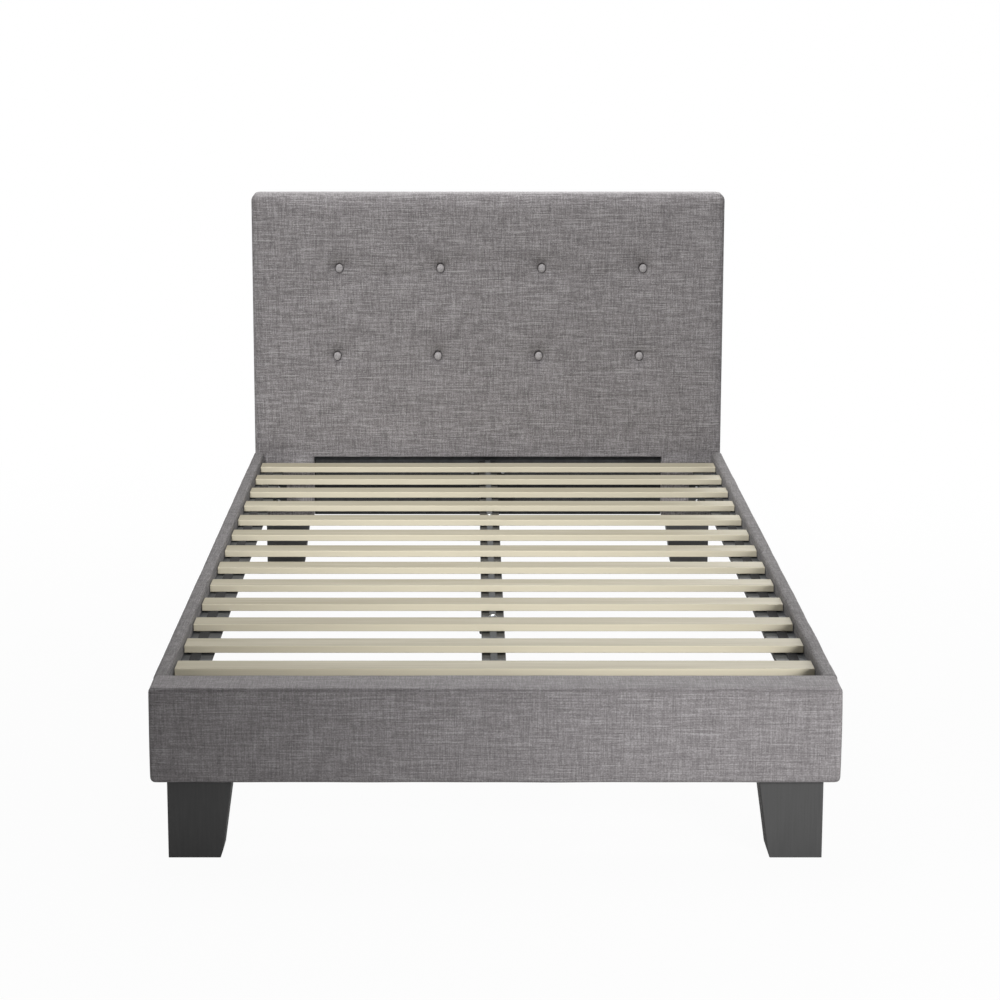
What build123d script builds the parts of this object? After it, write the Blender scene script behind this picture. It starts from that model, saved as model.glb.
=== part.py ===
"""Upholstered platform bed frame for one twin mattress, in millimetres.

The origin lies on the floor under the middle of the bed. +X is the right side seen from the foot end,
+Y points to the headboard and +Z is up.
"""

import os

from build123d import *

# Mattress space
mattress_width = 990
mattress_length = 1905
side_gap = 2.5
end_gap = 6.5

# Upholstered members
rail_thickness = 20
rail_height = 146
rail_edge = 5
footboard_depth = 75
footboard_edge = 8
footboard_corner = 11
headboard_depth = 67
headboard_height = 840
headboard_edge = 15
headboard_corner = 20
post_width = 131
skin = 2.5
lining = 2.5
lining_hem = 22
leg_height = 122

# Timber and foam inside the headboard
headboard_foam_depth = 22
headboard_board = 5
frame_rail_height = 70
cross_rail_height = 110
bay_drop = 11
bay_panel_thickness = 3

# Timber and foam inside the footboard
footboard_foam_depth = 15
footboard_board = 9
batten_height = 30
end_block_width = 130

# Tufted buttons, two rows on the headboard
button_columns = 4
upper_row_shift = 7
lower_row_shift = 1
button_pitch = 222
button_row_gap = 194
button_top_drop = 163
button_radius = 9
button_height = 6.5
button_rim = 2
tuft_depth = 7
tuft_radius = 30
tuft_floor = 11
tuft_lead = 0.4
tie_radius = 2
washer_radius = 8
washer_thickness = 1.5
tie_tail = 2

# Slats
slat_count = 13
slat_width = 50
slat_thickness = 12
slat_drop = 11
slat_end_gap = 2.5
slat_foot_margin = 87
slat_head_margin = 72
slat_edge = 1.5

# Steel ledgers and the tape on them
ledger_width = 50
ledger_flange = 38
ledger_wall = 2
ledger_end_gap = 3
ledger_screw_count = 7
ledger_screw_margin = 90
ledger_screw_drop = 22
tape_thickness = 2
tape_width = 16
tape_inset = 22

# Centre rail, its hangers and support legs
center_rail_width = 38
center_rail_height = 25
center_rail_wall = 2
center_rail_end_gap = 4
center_tape_width = 11
tape_bolt_gap = 2
hanger_wall = 2.5
hanger_length = 30
hanger_cheek = 16
hanger_ear = 24
hanger_plate_drop = 12
front_leg_slat_count = 3
rear_leg_slat_count = 9
leg_gap_offset = 16
center_leg_radius = 14
center_leg_wall = 2
center_leg_plug = 10
center_leg_clearance = 24
foot_radius = 20
foot_height = 9
foot_rim = 4
stud_radius = 5
stud_length = 52

# Corner legs
leg_side_inset = 23.5
leg_front_inset = 19
leg_top_width = 98
leg_top_depth = 56
leg_foot_width = 83
leg_foot_depth = 48
leg_tip_width = 79
leg_tip_depth = 45
leg_tip_height = 12
leg_edge = 2
leg_bolt_margin = 30
leg_bolt_gap = 36
leg_bolt_radius = 4
leg_bolt_bite = 36

# Corner brackets and fasteners
bracket_flange = 50
bracket_wall = 3
bracket_height = 60
bracket_lift = 18
bracket_bolt_inset = 30
bracket_bolt_edge = 15
bolt_radius = 4
bolt_head_radius = 7
bolt_head_height = 4
bolt_bite = 7
screw_radius = 2.5
screw_head_radius = 5
screw_head_height = 2.5
screw_bite = 7

# Clearances
hole_clearance = 0.2
stud_clearance = 0.3
hanger_clearance = 0.4

# Plan and heights
inner_width = mattress_width + 2 * side_gap
inner_length = mattress_length + 2 * end_gap
bed_width = inner_width + 2 * rail_thickness
bed_length = footboard_depth + inner_length + headboard_depth
half_width = bed_width / 2
foot_front = -bed_length / 2
foot_inner = foot_front + footboard_depth
head_front = foot_inner + inner_length
head_back = bed_length / 2
rail_bottom = leg_height
rail_top = leg_height + rail_height
rail_mid = (rail_bottom + rail_top) / 2
bay_top = rail_top - bay_drop
slat_bottom = rail_top - slat_drop - slat_thickness
ledger_top = slat_bottom - tape_thickness
center_rail_bottom = ledger_top - center_rail_height

# Layers of the headboard, front to back
board_front = head_front + skin + headboard_foam_depth
frame_front = board_front + headboard_board
frame_back = head_back - lining
frame_depth = frame_back - frame_front
stile_width = post_width - 2 * skin
bay_width = bed_width - 2 * post_width
frame_rail_length = bed_width - 2 * skin - 2 * stile_width
post_center = half_width - post_width / 2
bay_panel_front = frame_front - bay_panel_thickness

# Layers of the footboard, front to back
foot_board_front = foot_front + skin + footboard_foam_depth
foot_core_front = foot_board_front + footboard_board
foot_core_back = foot_inner - skin - footboard_board
foot_core_depth = foot_core_back - foot_core_front
core_height = rail_height - 2 * skin
core_width = bed_width - 2 * skin
core_corner = footboard_corner - skin
batten_length = core_width - 2 * end_block_width

sides = (("left", -1), ("right", 1))
upper_row = headboard_height - button_top_drop
button_spots = [
    (shift + (column - (button_columns - 1) / 2) * button_pitch, height)
    for shift, height in ((upper_row_shift, upper_row), (lower_row_shift, upper_row - button_row_gap))
    for column in range(button_columns)
]

# Slat and support leg places along the bed
slat_first = foot_inner + slat_foot_margin + slat_width / 2
slat_last = head_front - slat_head_margin - slat_width / 2
slat_pitch = (slat_last - slat_first) / (slat_count - 1)
slat_places = [slat_first + number * slat_pitch for number in range(slat_count)]
center_leg_places = {
    end: (slat_places[count - 1] + slat_places[count]) / 2 + leg_gap_offset
    for end, count in (("front", front_leg_slat_count), ("rear", rear_leg_slat_count))
}

# Fastener places
ledger_face = inner_width / 2 - ledger_wall
screw_span = inner_length - 2 * ledger_screw_margin
ledger_screw_places = [
    foot_inner + ledger_screw_margin + number * screw_span / (ledger_screw_count - 1)
    for number in range(ledger_screw_count)
]
bracket_bottom = rail_bottom + bracket_lift
bracket_top = bracket_bottom + bracket_height
bracket_bolt_heights = (bracket_bottom + bracket_bolt_edge, bracket_top - bracket_bolt_edge)
bracket_bolt_column = inner_width / 2 - bracket_bolt_inset
leg_outer = half_width - leg_side_inset
leg_bolt_columns = (leg_outer - leg_bolt_margin, leg_outer - leg_bolt_margin - leg_bolt_gap)
hanger_screw_column = center_rail_width / 2 + hanger_clearance + hanger_wall + hanger_ear / 2
hanger_screw_columns = (-hanger_screw_column, hanger_screw_column)
hanger_plate_bottom = center_rail_bottom - hanger_plate_drop
hanger_plate_height = hanger_plate_drop + hanger_cheek
hanger_screw_height = hanger_plate_bottom + hanger_plate_height / 2


def facing_foot(y):
    """Sketch plane at y with X across and Z up, whose extrusions run towards the foot end."""
    return Plane.XZ.offset(-y)


def along_x(x, y, z):
    """Place whose Z axis lies along X."""
    return Location((x, y, z), (0, 90, 0))


def along_y(x, y, z):
    """Place whose Z axis lies along Y."""
    return Location((x, y, z), (90, 0, 0))


def save(piece, label):
    """Names a finished piece and writes it."""
    piece.part.label = label
    export_step(piece.part, f"parts/{label}.step")


def fastener(head_radius, head_height, shank_radius, shank_length):
    """Dome-headed fastener with its head's seat at z = 0 and its shank below."""
    with BuildPart() as piece:
        with BuildSketch(Plane.XZ):
            with BuildLine():
                TangentArc((0, head_height), (head_radius, 0), tangent=(1, 0))
                Polyline(
                    (head_radius, 0),
                    (shank_radius, 0),
                    (shank_radius, -shank_length),
                    (0, -shank_length),
                    (0, head_height),
                )
            make_face()
        revolve(axis=Axis.Z)
    return piece.part


def headboard_block(inset):
    """Padded headboard above the bay with its tuft dimples, drawn in by inset except at the back."""
    width = bed_width - 2 * inset
    top = headboard_height - inset
    front = head_front + inset
    with BuildPart() as block:
        with BuildSketch(facing_foot(frame_back)):
            with Locations((0, (bay_top + top) / 2)):
                RectangleRounded(width, top - bay_top, headboard_corner - inset)
            with Locations((0, bay_top)):
                Rectangle(width, headboard_corner, align=(Align.CENTER, Align.MIN))
        extrude(amount=frame_back - front)
        front_edges = block.faces().sort_by(Axis.Y)[0].edges()
        fillet(front_edges.sort_by(Axis.Z)[1:], headboard_edge - inset)
        for x, z in button_spots:
            with BuildSketch(Plane((x, front, z), x_dir=(1, 0, 0), z_dir=(0, 0, 1))):
                with BuildLine():
                    floor_end = (tuft_floor, tuft_depth)
                    wall_middle = ((tuft_floor + tuft_radius) / 2, (tuft_depth - tuft_lead) / 2)
                    rim = (tuft_radius, -tuft_lead)
                    TangentArc(floor_end, wall_middle, tangent=(1, 0))
                    TangentArc(rim, wall_middle, tangent=(-1, 0))
                    Polyline(rim, (0, -tuft_lead), (0, tuft_depth), floor_end)
                make_face()
            revolve(axis=Axis((x, front, z), (0, 1, 0)), mode=Mode.SUBTRACT)
    return block.part


def post_block(sign, inset):
    """Wrapped headboard post beside the bay, drawn in by inset at the front, bottom and sides."""
    with BuildPart() as block:
        with BuildSketch(Plane.XY.offset(rail_bottom + inset)):
            with Locations((sign * post_center, (head_front + inset + frame_back) / 2)):
                Rectangle(post_width - 2 * inset, frame_back - head_front - inset)
        extrude(amount=bay_top - rail_bottom - inset)
        front_edges = block.edges().filter_by(Axis.Z).sort_by(Axis.Y)[:2].sort_by(Axis.X)
        fillet(front_edges[-1 if sign > 0 else 0], headboard_edge - inset)
    return block.part


def footboard_block(inset):
    """Padded footboard, drawn in by inset on every side."""
    with BuildPart() as block:
        with Locations((0, (foot_front + foot_inner) / 2, rail_mid)):
            Box(bed_width - 2 * inset, footboard_depth - 2 * inset, rail_height - 2 * inset)
        fillet(block.edges().filter_by(Axis.Y).group_by(Axis.Z)[0], footboard_corner - inset)
        fillet(block.faces().sort_by(Axis.Y)[0].edges(), footboard_edge - inset)
    return block.part


os.makedirs("parts", exist_ok=True)

# Headboard: linen cover, foam, board and tufted buttons
tie_places = [along_y(x, frame_front, z) for x, z in button_spots]
tie_hole = tie_radius + hole_clearance

with BuildPart() as headboard_cover:
    add(headboard_block(0))
    add(headboard_block(skin), mode=Mode.SUBTRACT)
    with Locations(*tie_places):
        Cylinder(tie_hole, 2 * headboard_depth, mode=Mode.SUBTRACT)
save(headboard_cover, "headboard_cover")

with BuildPart() as headboard_foam:
    add(headboard_block(skin))
    split(bisect_by=facing_foot(board_front))
    with Locations(*tie_places):
        Cylinder(tie_hole, 2 * headboard_depth, mode=Mode.SUBTRACT)
save(headboard_foam, "headboard_foam")

panel_top = headboard_height - skin
panel_corner = headboard_corner - skin
with BuildPart() as headboard_front_board:
    with BuildSketch(facing_foot(frame_front)):
        with Locations((0, (bay_top + panel_top) / 2)):
            RectangleRounded(core_width, panel_top - bay_top, panel_corner)
        with Locations((0, bay_top)):
            Rectangle(core_width, headboard_corner, align=(Align.CENTER, Align.MIN))
        with Locations(*button_spots):
            Circle(tie_hole, mode=Mode.SUBTRACT)
    extrude(amount=headboard_board)
save(headboard_front_board, "headboard_front_board")

tuft_seat = head_front + tuft_depth
tie_end = frame_front + washer_thickness + tie_tail
with BuildPart() as button:
    with BuildSketch(Plane.XZ):
        with BuildLine():
            TangentArc((0, button_height), (button_radius, button_rim), tangent=(1, 0))
            Polyline(
                (button_radius, button_rim),
                (button_radius - button_rim, 0),
                (tie_radius, 0),
                (tie_radius, tuft_seat - tie_end),
                (0, tuft_seat - tie_end),
                (0, button_height),
            )
        make_face()
    revolve(axis=Axis.Z)

with BuildPart() as tuft_buttons:
    with Locations(*[along_y(x, tuft_seat, z) for x, z in button_spots]):
        add(button.part)
save(tuft_buttons, "tuft_buttons")

with BuildPart() as button_washers:
    with BuildSketch(facing_foot(frame_front)):
        with Locations(*button_spots):
            Circle(washer_radius)
            Circle(tie_hole, mode=Mode.SUBTRACT)
    extrude(amount=-washer_thickness)
save(button_washers, "button_washers")

# Headboard: timber frame, wrapped posts, bay panel and back lining
rear_bolt_y = (frame_front + frame_back) / 2
for side, sign in sides:
    post_bolts = [(sign * column, rear_bolt_y, rail_bottom) for column in leg_bolt_columns]
    post_bracket_bolts = [
        along_y(sign * bracket_bolt_column, head_front, height) for height in bracket_bolt_heights
    ]

    with BuildPart() as headboard_stile:
        with BuildSketch(facing_foot(frame_back)):
            with Locations((sign * post_center, rail_bottom + skin)):
                Rectangle(stile_width, panel_top - rail_bottom - skin, align=(Align.CENTER, Align.MIN))
        extrude(amount=frame_depth)
        top_edges = headboard_stile.edges().filter_by(Axis.Y).group_by(Axis.Z)[-1]
        fillet(top_edges.sort_by(Axis.X)[-1 if sign > 0 else 0], panel_corner)
        with Locations(*post_bolts):
            Cylinder(leg_bolt_radius + hole_clearance, 2 * leg_bolt_bite, mode=Mode.SUBTRACT)
    save(headboard_stile, f"headboard_stile_{side}")

    with BuildPart() as post_cover:
        add(post_block(sign, 0))
        add(post_block(sign, skin), mode=Mode.SUBTRACT)
        with Locations(*post_bolts):
            Cylinder(leg_bolt_radius + hole_clearance, 4 * skin, mode=Mode.SUBTRACT)
        with Locations(*post_bracket_bolts):
            Cylinder(bolt_radius + hole_clearance, 4 * skin, mode=Mode.SUBTRACT)
    save(post_cover, f"headboard_post_cover_{side}")

with BuildPart() as headboard_post_blocks:
    for side, sign in sides:
        add(post_block(sign, skin))
    split(bisect_by=facing_foot(frame_front))
    for side, sign in sides:
        with Locations(*[
            along_y(sign * bracket_bolt_column, head_front, height)
            for height in bracket_bolt_heights
        ]):
            Cylinder(bolt_radius + hole_clearance, 2 * (skin + bolt_bite), mode=Mode.SUBTRACT)
save(headboard_post_blocks, "headboard_post_blocks")

with BuildPart() as headboard_frame_rails:
    with BuildSketch(facing_foot(frame_back)):
        with Locations((0, panel_top)):
            Rectangle(frame_rail_length, frame_rail_height, align=(Align.CENTER, Align.MAX))
        with Locations((0, bay_top)):
            Rectangle(frame_rail_length, frame_rail_height, align=(Align.CENTER, Align.MIN))
    extrude(amount=frame_depth)
save(headboard_frame_rails, "headboard_frame_rails")

rear_hanger_screws = [
    along_y(x, bay_panel_front, hanger_screw_height) for x in hanger_screw_columns
]
with BuildPart() as headboard_cross_rail:
    with BuildSketch(facing_foot(frame_back)):
        with Locations((0, bay_top)):
            Rectangle(bay_width, cross_rail_height, align=(Align.CENTER, Align.MAX))
    extrude(amount=frame_depth)
    with Locations(*rear_hanger_screws):
        Cylinder(screw_radius + hole_clearance, 2 * (bay_panel_thickness + screw_bite), mode=Mode.SUBTRACT)
save(headboard_cross_rail, "headboard_cross_rail")

with BuildPart() as headboard_bay_panel:
    with BuildSketch(facing_foot(frame_front)):
        with Locations((0, rail_bottom)):
            Rectangle(bay_width, bay_top - rail_bottom, align=(Align.CENTER, Align.MIN))
    extrude(amount=bay_panel_thickness)
    with Locations(*rear_hanger_screws):
        Cylinder(screw_radius + hole_clearance, 4 * bay_panel_thickness, mode=Mode.SUBTRACT)
save(headboard_bay_panel, "headboard_bay_panel")

with BuildPart() as headboard_back_lining:
    with BuildSketch(facing_foot(head_back)):
        with Locations((0, (rail_bottom + headboard_height) / 2)):
            Rectangle(bed_width - 2 * lining_hem, headboard_height - rail_bottom - 2 * lining_hem)
    extrude(amount=lining)
save(headboard_back_lining, "headboard_back_lining")

# Footboard: linen cover and foam over a timber box
front_bolt_y = (foot_core_front + foot_core_back) / 2
front_leg_bolts = [
    (sign * column, front_bolt_y, rail_bottom) for side, sign in sides for column in leg_bolt_columns
]
foot_bracket_bolts = [
    along_y(sign * bracket_bolt_column, foot_inner, height)
    for side, sign in sides
    for height in bracket_bolt_heights
]
front_hanger_screws = [
    along_y(x, foot_inner, hanger_screw_height) for x in hanger_screw_columns
]

with BuildPart() as footboard_cover:
    add(footboard_block(0))
    add(footboard_block(skin), mode=Mode.SUBTRACT)
    with Locations(*front_leg_bolts):
        Cylinder(leg_bolt_radius + hole_clearance, 4 * skin, mode=Mode.SUBTRACT)
    with Locations(*foot_bracket_bolts):
        Cylinder(bolt_radius + hole_clearance, 4 * skin, mode=Mode.SUBTRACT)
    with Locations(*front_hanger_screws):
        Cylinder(screw_radius + hole_clearance, 4 * skin, mode=Mode.SUBTRACT)
save(footboard_cover, "footboard_cover")

with BuildPart() as footboard_foam:
    add(footboard_block(skin))
    split(bisect_by=facing_foot(foot_board_front))
save(footboard_foam, "footboard_foam")

with BuildPart() as footboard_front_board:
    with BuildSketch(facing_foot(foot_core_front)):
        with Locations((0, rail_mid)):
            Rectangle(core_width, core_height)
    extrude(amount=footboard_board)
    fillet(footboard_front_board.edges().filter_by(Axis.Y).group_by(Axis.Z)[0], core_corner)
save(footboard_front_board, "footboard_front_board")

with BuildPart() as footboard_back_board:
    with BuildSketch(facing_foot(foot_inner - skin)):
        with Locations((0, rail_mid)):
            Rectangle(core_width, core_height)
    extrude(amount=footboard_board)
    fillet(footboard_back_board.edges().filter_by(Axis.Y).group_by(Axis.Z)[0], core_corner)
    with Locations(*foot_bracket_bolts):
        Cylinder(bolt_radius + hole_clearance, 2 * (skin + bolt_bite), mode=Mode.SUBTRACT)
    with Locations(*front_hanger_screws):
        Cylinder(screw_radius + hole_clearance, 2 * (skin + screw_bite), mode=Mode.SUBTRACT)
save(footboard_back_board, "footboard_back_board")

with BuildPart() as footboard_battens:
    with BuildSketch(facing_foot(foot_core_back)):
        with Locations((0, rail_bottom + skin)):
            Rectangle(batten_length, batten_height, align=(Align.CENTER, Align.MIN))
        with Locations((0, rail_top - skin)):
            Rectangle(batten_length, batten_height, align=(Align.CENTER, Align.MAX))
    extrude(amount=foot_core_depth)
save(footboard_battens, "footboard_battens")

with BuildPart() as footboard_end_blocks:
    with BuildSketch(facing_foot(foot_core_back)):
        with Locations(*[(sign * (core_width - end_block_width) / 2, rail_mid) for side, sign in sides]):
            Rectangle(end_block_width, core_height)
    extrude(amount=foot_core_depth)
    lower_edges = footboard_end_blocks.edges().filter_by(Axis.Y).group_by(Axis.Z)[0].sort_by(Axis.X)
    fillet([lower_edges[0], lower_edges[-1]], core_corner)
    with Locations(*front_leg_bolts):
        Cylinder(leg_bolt_radius + hole_clearance, 2 * leg_bolt_bite, mode=Mode.SUBTRACT)
save(footboard_end_blocks, "footboard_end_blocks")

# Side rails: board, linen sleeve, steel ledger
for side, sign in sides:
    rail_center = sign * (inner_width + rail_thickness) / 2
    rail_face = sign * inner_width / 2
    ledger_seats = [along_x(rail_face, y, ledger_top - ledger_screw_drop) for y in ledger_screw_places]
    bracket_seats = [
        along_x(rail_face, y, height)
        for y in (foot_inner + bracket_bolt_inset, head_front - bracket_bolt_inset)
        for height in bracket_bolt_heights
    ]

    with BuildPart() as side_rail_board:
        with BuildSketch(facing_foot(head_front)):
            with Locations((rail_center, rail_mid)):
                Rectangle(rail_thickness - 2 * skin, core_height)
        extrude(amount=inner_length)
        with Locations(*ledger_seats):
            Cylinder(screw_radius + hole_clearance, 2 * (skin + screw_bite), mode=Mode.SUBTRACT)
        with Locations(*bracket_seats):
            Cylinder(bolt_radius + hole_clearance, 2 * (skin + bolt_bite), mode=Mode.SUBTRACT)
    save(side_rail_board, f"side_rail_board_{side}")

    with BuildPart() as side_rail_cover:
        with BuildSketch(facing_foot(head_front)):
            with Locations((rail_center, rail_mid)):
                RectangleRounded(rail_thickness, rail_height, rail_edge)
                Rectangle(rail_thickness - 2 * skin, core_height, mode=Mode.SUBTRACT)
        extrude(amount=inner_length)
        with Locations(*ledger_seats):
            Cylinder(screw_radius + hole_clearance, 4 * skin, mode=Mode.SUBTRACT)
        with Locations(*bracket_seats):
            Cylinder(bolt_radius + hole_clearance, 4 * skin, mode=Mode.SUBTRACT)
    save(side_rail_cover, f"side_rail_cover_{side}")

    with BuildPart() as slat_ledger:
        with BuildSketch(facing_foot(head_front - ledger_end_gap)):
            with BuildLine():
                Polyline(
                    (rail_face, ledger_top),
                    (rail_face - sign * ledger_width, ledger_top),
                    (rail_face - sign * ledger_width, ledger_top - ledger_wall),
                    (rail_face - sign * ledger_wall, ledger_top - ledger_wall),
                    (rail_face - sign * ledger_wall, ledger_top - ledger_flange),
                    (rail_face, ledger_top - ledger_flange),
                    close=True,
                )
            make_face()
        extrude(amount=inner_length - 2 * ledger_end_gap)
        with Locations(*ledger_seats):
            Cylinder(screw_radius + hole_clearance, 4 * ledger_wall, mode=Mode.SUBTRACT)
    save(slat_ledger, f"slat_ledger_{side}")

with BuildPart() as ledger_tapes:
    with BuildSketch(facing_foot(head_front - ledger_end_gap)):
        with Locations(*[(sign * (inner_width / 2 - tape_inset), ledger_top) for side, sign in sides]):
            Rectangle(tape_width, tape_thickness, align=(Align.CENTER, Align.MIN))
    extrude(amount=inner_length - 2 * ledger_end_gap)
save(ledger_tapes, "ledger_tapes")

ledger_screw = fastener(screw_head_radius, screw_head_height, screw_radius, ledger_wall + skin + screw_bite)
with BuildPart() as ledger_screws:
    for side, sign in sides:
        with Locations(*[
            Location((sign * ledger_face, y, ledger_top - ledger_screw_drop), (0, -90 * sign, 0))
            for y in ledger_screw_places
        ]):
            add(ledger_screw)
save(ledger_screws, "ledger_screws")

# Corner brackets that bolt the rails to the footboard and headboard
corner_bolt = fastener(bolt_head_radius, bolt_head_height, bolt_radius, bracket_wall + skin + bolt_bite)
ends = ((foot_inner, 1), (head_front, -1))
corners = [(sign, face, inward) for side, sign in sides for face, inward in ends]

with BuildPart() as corner_brackets:
    for sign, face, inward in corners:
        corner = sign * inner_width / 2
        with BuildSketch(Plane.XY.offset(bracket_bottom)):
            with BuildLine():
                Polyline(
                    (corner, face),
                    (corner - sign * bracket_flange, face),
                    (corner - sign * bracket_flange, face + inward * bracket_wall),
                    (corner - sign * bracket_wall, face + inward * bracket_wall),
                    (corner - sign * bracket_wall, face + inward * bracket_flange),
                    (corner, face + inward * bracket_flange),
                    close=True,
                )
            make_face()
        extrude(amount=bracket_height)
        for height in bracket_bolt_heights:
            with Locations(
                along_x(corner, face + inward * bracket_bolt_inset, height),
                along_y(corner - sign * bracket_bolt_inset, face, height),
            ):
                Cylinder(bolt_radius + hole_clearance, 4 * bracket_wall, mode=Mode.SUBTRACT)
save(corner_brackets, "corner_brackets")

with BuildPart() as corner_bolts:
    for sign, face, inward in corners:
        seat_x = sign * (inner_width / 2 - bracket_wall)
        seat_y = face + inward * bracket_wall
        for height in bracket_bolt_heights:
            with Locations(
                Location((seat_x, face + inward * bracket_bolt_inset, height), (0, -90 * sign, 0)),
                Location((sign * bracket_bolt_column, seat_y, height), (-90 * inward, 0, 0)),
            ):
                add(corner_bolt)
save(corner_bolts, "corner_bolts")

# Centre rail, its tape and hangers
center_rail_front = foot_inner + center_rail_end_gap
center_rail_back = bay_panel_front - center_rail_end_gap
center_rail_length = center_rail_back - center_rail_front
center_bolt_places = [(0, y, ledger_top) for y in center_leg_places.values()]

with BuildPart() as center_rail:
    with BuildSketch(facing_foot(center_rail_back)):
        with Locations((0, (ledger_top + center_rail_bottom) / 2)):
            Rectangle(center_rail_width, center_rail_height)
            Rectangle(
                center_rail_width - 2 * center_rail_wall,
                center_rail_height - 2 * center_rail_wall,
                mode=Mode.SUBTRACT,
            )
    extrude(amount=center_rail_length)
    with Locations(*center_bolt_places):
        Cylinder(bolt_radius + hole_clearance, 3 * center_rail_height, mode=Mode.SUBTRACT)
save(center_rail, "center_rail")

with BuildPart() as center_rail_tape:
    with BuildSketch(facing_foot(center_rail_back)):
        with Locations((0, ledger_top)):
            Rectangle(center_tape_width, tape_thickness, align=(Align.CENTER, Align.MIN))
    extrude(amount=center_rail_length)
    with Locations(*center_bolt_places):
        Cylinder(bolt_head_radius + tape_bolt_gap, 4 * tape_thickness, mode=Mode.SUBTRACT)
save(center_rail_tape, "center_rail_tape")

hanger_inside = center_rail_width + 2 * hanger_clearance
hanger_outside = hanger_inside + 2 * hanger_wall
hanger_screw = fastener(screw_head_radius, screw_head_height, screw_radius, hanger_wall + skin + screw_bite)
for end, face, inward in (("front", foot_inner, 1), ("rear", bay_panel_front, -1)):
    with BuildPart() as center_rail_hanger:
        with BuildSketch(facing_foot(face)):
            with Locations((0, hanger_plate_bottom)):
                hanger_width = hanger_outside + 2 * hanger_ear
                Rectangle(hanger_width, hanger_plate_height, align=(Align.CENTER, Align.MIN))
        extrude(amount=-inward * hanger_wall)
        with BuildSketch(facing_foot(face)):
            with Locations((0, center_rail_bottom - hanger_wall)):
                Rectangle(hanger_outside, hanger_wall + hanger_cheek, align=(Align.CENTER, Align.MIN))
            with Locations((0, center_rail_bottom)):
                Rectangle(hanger_inside, hanger_cheek, align=(Align.CENTER, Align.MIN), mode=Mode.SUBTRACT)
        extrude(amount=-inward * hanger_length)
        with Locations(*[along_y(x, face, hanger_screw_height) for x in hanger_screw_columns]):
            Cylinder(screw_radius + hole_clearance, 4 * hanger_wall, mode=Mode.SUBTRACT)
    save(center_rail_hanger, f"center_rail_hanger_{end}")

with BuildPart() as hanger_screws:
    for face, inward in ((foot_inner, 1), (bay_panel_front, -1)):
        with Locations(*[
            Location((x, face + inward * hanger_wall, hanger_screw_height), (-90 * inward, 0, 0))
            for x in hanger_screw_columns
        ]):
            add(hanger_screw)
save(hanger_screws, "hanger_screws")

# Support legs under the centre rail, with screw feet
center_bolt_length = center_rail_height + center_leg_plug
center_bolt = fastener(bolt_head_radius, bolt_head_height, bolt_radius, center_bolt_length)
with BuildPart() as center_leg_bolts:
    with Locations(*center_bolt_places):
        add(center_bolt)
save(center_leg_bolts, "center_leg_bolts")

center_leg_inside = center_leg_radius - center_leg_wall
for end, y in center_leg_places.items():
    with BuildPart() as center_leg:
        with BuildSketch(Plane((0, y, 0), x_dir=(1, 0, 0), z_dir=(0, -1, 0))):
            with BuildLine():
                Polyline(
                    (stud_radius + stud_clearance, center_leg_clearance),
                    (center_leg_radius, center_leg_clearance),
                    (center_leg_radius, center_rail_bottom),
                    (bolt_radius + hole_clearance, center_rail_bottom),
                    (bolt_radius + hole_clearance, center_rail_bottom - center_leg_plug),
                    (center_leg_inside, center_rail_bottom - center_leg_plug),
                    (center_leg_inside, center_leg_clearance + center_leg_plug),
                    (stud_radius + stud_clearance, center_leg_clearance + center_leg_plug),
                    close=True,
                )
            make_face()
        revolve(axis=Axis((0, y, 0), (0, 0, 1)))
    save(center_leg, f"center_leg_{end}")

    with BuildPart() as leveling_foot:
        with BuildSketch(Plane((0, y, 0), x_dir=(1, 0, 0), z_dir=(0, -1, 0))):
            with BuildLine():
                Polyline(
                    (0, 0),
                    (foot_radius, 0),
                    (foot_radius, foot_rim),
                    (2 * stud_radius, foot_height),
                    (stud_radius, foot_height),
                    (stud_radius, foot_height + stud_length),
                    (0, foot_height + stud_length),
                    close=True,
                )
            make_face()
        revolve(axis=Axis((0, y, 0), (0, 0, 1)))
    save(leveling_foot, f"leveling_foot_{end}")

# Corner legs: square outside, tapered inside, with a short steeper tip
leg_sections = (
    (leg_height, leg_top_width, leg_top_depth),
    (leg_tip_height, leg_foot_width, leg_foot_depth),
    (0, leg_tip_width, leg_tip_depth),
)
rear_leg_inset = (headboard_depth - leg_top_depth) / 2
leg_ends = (
    ("front", foot_front + leg_front_inset, Align.MIN, front_bolt_y),
    ("rear", head_back - rear_leg_inset, Align.MAX, rear_bolt_y),
)
for end, outer_y, depth_align, bolt_y in leg_ends:
    for side, sign in sides:
        with BuildPart() as leg:
            for height, width, depth in leg_sections:
                with BuildSketch(Plane.XY.offset(height)):
                    with Locations((sign * leg_outer, outer_y)):
                        leg_align = (Align.MAX if sign > 0 else Align.MIN, depth_align)
                        RectangleRounded(width, depth, leg_edge, align=leg_align)
            loft(ruled=True)
            with Locations(*[(sign * column, bolt_y, leg_height) for column in leg_bolt_columns]):
                Cylinder(leg_bolt_radius + hole_clearance, 2 * leg_bolt_bite, mode=Mode.SUBTRACT)
        save(leg, f"leg_{end}_{side}")

with BuildPart() as leg_bolts:
    for end, outer_y, depth_align, bolt_y in leg_ends:
        for side, sign in sides:
            with Locations(*[(sign * column, bolt_y, leg_height) for column in leg_bolt_columns]):
                Cylinder(leg_bolt_radius, 2 * leg_bolt_bite)
save(leg_bolts, "leg_bolts")

# Slats, numbered from the foot end
for number, y in enumerate(slat_places, start=1):
    with BuildPart() as slat:
        with BuildSketch(Plane.XY.offset(slat_bottom)):
            with Locations((0, y)):
                Rectangle(inner_width - 2 * slat_end_gap, slat_width)
        extrude(amount=slat_thickness)
        fillet(slat.edges().filter_by(Axis.X), slat_edge)
    save(slat, f"slat_{number:02d}")
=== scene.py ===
import math

import bmesh
import bpy
import numpy as np
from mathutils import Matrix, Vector, noise


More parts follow.
